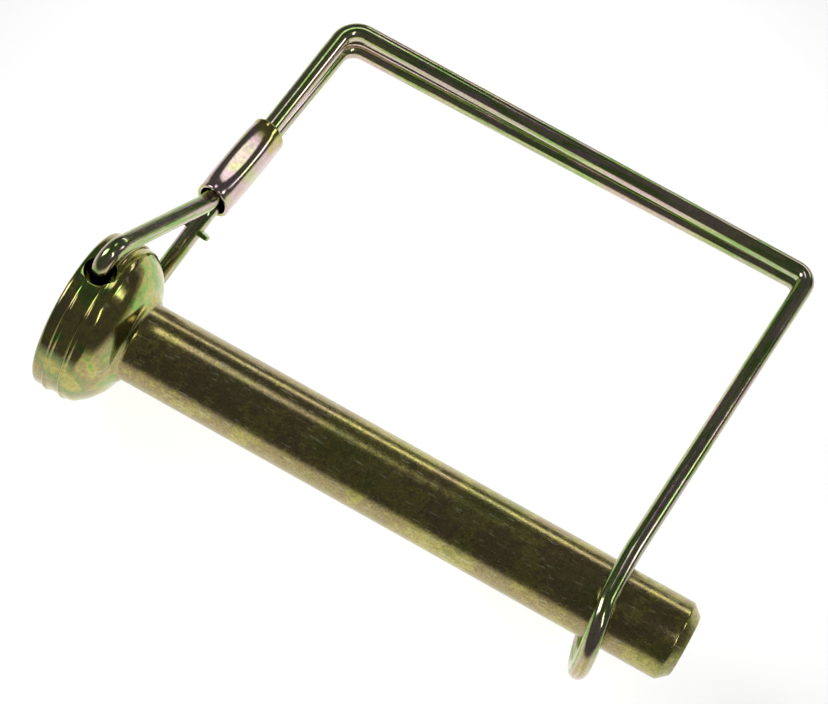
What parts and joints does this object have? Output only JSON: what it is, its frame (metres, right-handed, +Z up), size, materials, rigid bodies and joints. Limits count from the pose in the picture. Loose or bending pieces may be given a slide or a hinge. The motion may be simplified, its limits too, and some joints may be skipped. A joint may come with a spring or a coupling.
{
  "type": "hitch pin lock",
  "caption": "Plated steel lock pin with a drilled domed head and a square sprung wire bail that loops round the pin's far end.",
  "frame": {"origin": "on the pin's axis at the head's shoulder plane, seen in plan; Z = 0 is the lowest point of the lower hook, with the pin level", "axes": "+X along the pin from head to tip, +Y from the pin towards the bail's top run, +Z up along the head's cross hole"},
  "size_m": [0.0778, 0.0586, 0.025],
  "materials": {
    "pin_plating": "satin yellow zinc plating",
    "wire_plating": "glossy yellow zinc plating with pink and green tints",
    "ferrule_plating": "glossy yellow zinc plating with a pink tint"
  },
  "bodies": {
    "pin": {"pin": "pin_plating"},
    "bail": {"upper_strand": "wire_plating", "lower_strand": "wire_plating", "ferrule": "ferrule_plating"},
    "loop": {"lock_loop": "wire_plating"}
  },
  "joints": [
    {"name": "bail_swing", "type": "hinge", "parent": "pin", "child": "bail", "pos_m": [-0.0042, 0.0013, 0.01252], "axis": [0, 0, 1], "range_deg": [0, 150], "deforming": ["lock_loop"]},
    {"name": "loop_spring_out", "type": "hinge", "parent": "bail", "child": "loop", "pos_m": [0.0643, 0.0477, 0.01252], "axis": [0, 0, 1], "range_deg": [0, 18], "stiffness_Nm_per_rad": 0.3}
  ]
}
